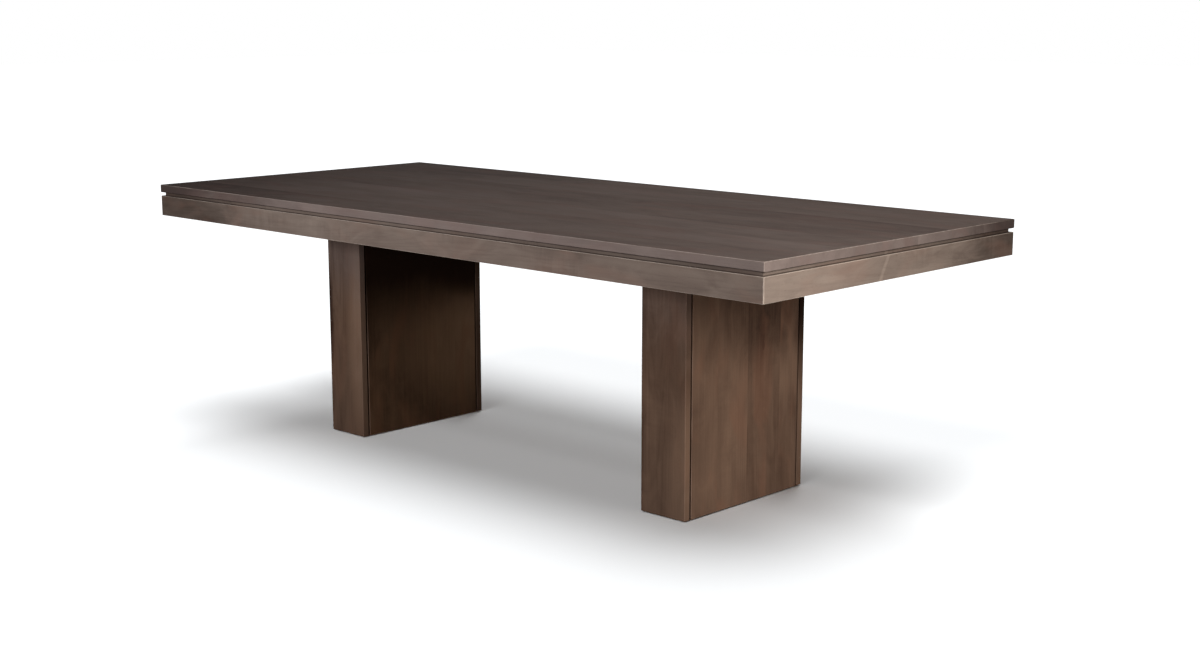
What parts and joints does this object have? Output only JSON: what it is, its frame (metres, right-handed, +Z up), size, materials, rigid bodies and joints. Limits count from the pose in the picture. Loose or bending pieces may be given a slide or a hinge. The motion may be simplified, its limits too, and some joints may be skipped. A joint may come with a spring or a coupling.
{
  "type": "double pedestal dining table",
  "caption": "Rectangular solid-wood dining table with a reveal groove under the top, box pedestals and screw-out levelling feet.",
  "frame": {"origin": "on the floor under the middle of the top", "axes": "+X along the table, -Y towards its front, +Z up"},
  "size_m": [2.4, 1.067, 0.762],
  "materials": {
    "top_wood": "dark grey-brown stain under a satin clear coat",
    "apron_wood": "dark grey-brown stain under a satin clear coat",
    "pedestal_wood": "dark brown stain under a satin clear coat",
    "hidden_wood": "planed and sealed, not stained",
    "zinc_steel": "zinc plated",
    "foot_nylon": "moulded, matte"
  },
  "bodies": {
    "table": {"apron_clips": "zinc_steel", "back_apron": "apron_wood", "batten_screws": "zinc_steel", "centre_batten": "hidden_wood", "clip_screws": "zinc_steel", "corner_block_back_left": "hidden_wood", "corner_block_back_right": "hidden_wood", "corner_block_front_left": "hidden_wood", "corner_block_front_right": "hidden_wood", "corner_block_screws": "zinc_steel", "front_apron": "apron_wood", "left_apron": "apron_wood", "left_end_batten": "hidden_wood", "left_mounting_plate": "hidden_wood", "left_pedestal_back_board": "pedestal_wood", "left_pedestal_bottom_block": "hidden_wood", "left_pedestal_corner_strips": "hidden_wood", "left_pedestal_front_board": "pedestal_wood", "left_pedestal_inner_panel": "pedestal_wood", "left_pedestal_outer_panel": "pedestal_wood", "left_pedestal_top_block": "hidden_wood", "plate_bolt_washers": "zinc_steel", "plate_bolts": "zinc_steel", "plate_screws": "zinc_steel", "right_apron": "apron_wood", "right_end_batten": "hidden_wood", "right_mounting_plate": "hidden_wood", "right_pedestal_back_board": "pedestal_wood", "right_pedestal_bottom_block": "hidden_wood", "right_pedestal_corner_strips": "hidden_wood", "right_pedestal_front_board": "pedestal_wood", "right_pedestal_inner_panel": "pedestal_wood", "right_pedestal_outer_panel": "pedestal_wood", "right_pedestal_top_block": "hidden_wood", "t_nuts": "zinc_steel", "threaded_inserts": "zinc_steel", "top_board_1": "top_wood", "top_board_2": "top_wood", "top_board_3": "top_wood", "top_board_4": "top_wood", "top_board_5": "top_wood", "top_board_6": "top_wood", "top_board_7": "top_wood"},
    "left_front_outer_foot": {"left_front_outer_foot_stud": "zinc_steel", "left_front_outer_foot_pad": "foot_nylon"},
    "left_front_inner_foot": {"left_front_inner_foot_stud": "zinc_steel", "left_front_inner_foot_pad": "foot_nylon"},
    "left_back_outer_foot": {"left_back_outer_foot_stud": "zinc_steel", "left_back_outer_foot_pad": "foot_nylon"},
    "left_back_inner_foot": {"left_back_inner_foot_stud": "zinc_steel", "left_back_inner_foot_pad": "foot_nylon"},
    "right_front_outer_foot": {"right_front_outer_foot_stud": "zinc_steel", "right_front_outer_foot_pad": "foot_nylon"},
    "right_front_inner_foot": {"right_front_inner_foot_stud": "zinc_steel", "right_front_inner_foot_pad": "foot_nylon"},
    "right_back_outer_foot": {"right_back_outer_foot_stud": "zinc_steel", "right_back_outer_foot_pad": "foot_nylon"},
    "right_back_inner_foot": {"right_back_inner_foot_stud": "zinc_steel", "right_back_inner_foot_pad": "foot_nylon"}
  },
  "joints": [
    {"name": "left_front_outer_leveller", "type": "slide", "parent": "table", "child": "left_front_outer_foot", "axis": [0, 0, -1], "range_m": [0, 0.015]},
    {"name": "left_front_inner_leveller", "type": "slide", "parent": "table", "child": "left_front_inner_foot", "axis": [0, 0, -1], "range_m": [0, 0.015]},
    {"name": "left_back_outer_leveller", "type": "slide", "parent": "table", "child": "left_back_outer_foot", "axis": [0, 0, -1], "range_m": [0, 0.015]},
    {"name": "left_back_inner_leveller", "type": "slide", "parent": "table", "child": "left_back_inner_foot", "axis": [0, 0, -1], "range_m": [0, 0.015]},
    {"name": "right_front_outer_leveller", "type": "slide", "parent": "table", "child": "right_front_outer_foot", "axis": [0, 0, -1], "range_m": [0, 0.015]},
    {"name": "right_front_inner_leveller", "type": "slide", "parent": "table", "child": "right_front_inner_foot", "axis": [0, 0, -1], "range_m": [0, 0.015]},
    {"name": "right_back_outer_leveller", "type": "slide", "parent": "table", "child": "right_back_outer_foot", "axis": [0, 0, -1], "range_m": [0, 0.015]},
    {"name": "right_back_inner_leveller", "type": "slide", "parent": "table", "child": "right_back_inner_foot", "axis": [0, 0, -1], "range_m": [0, 0.015]}
  ]
}
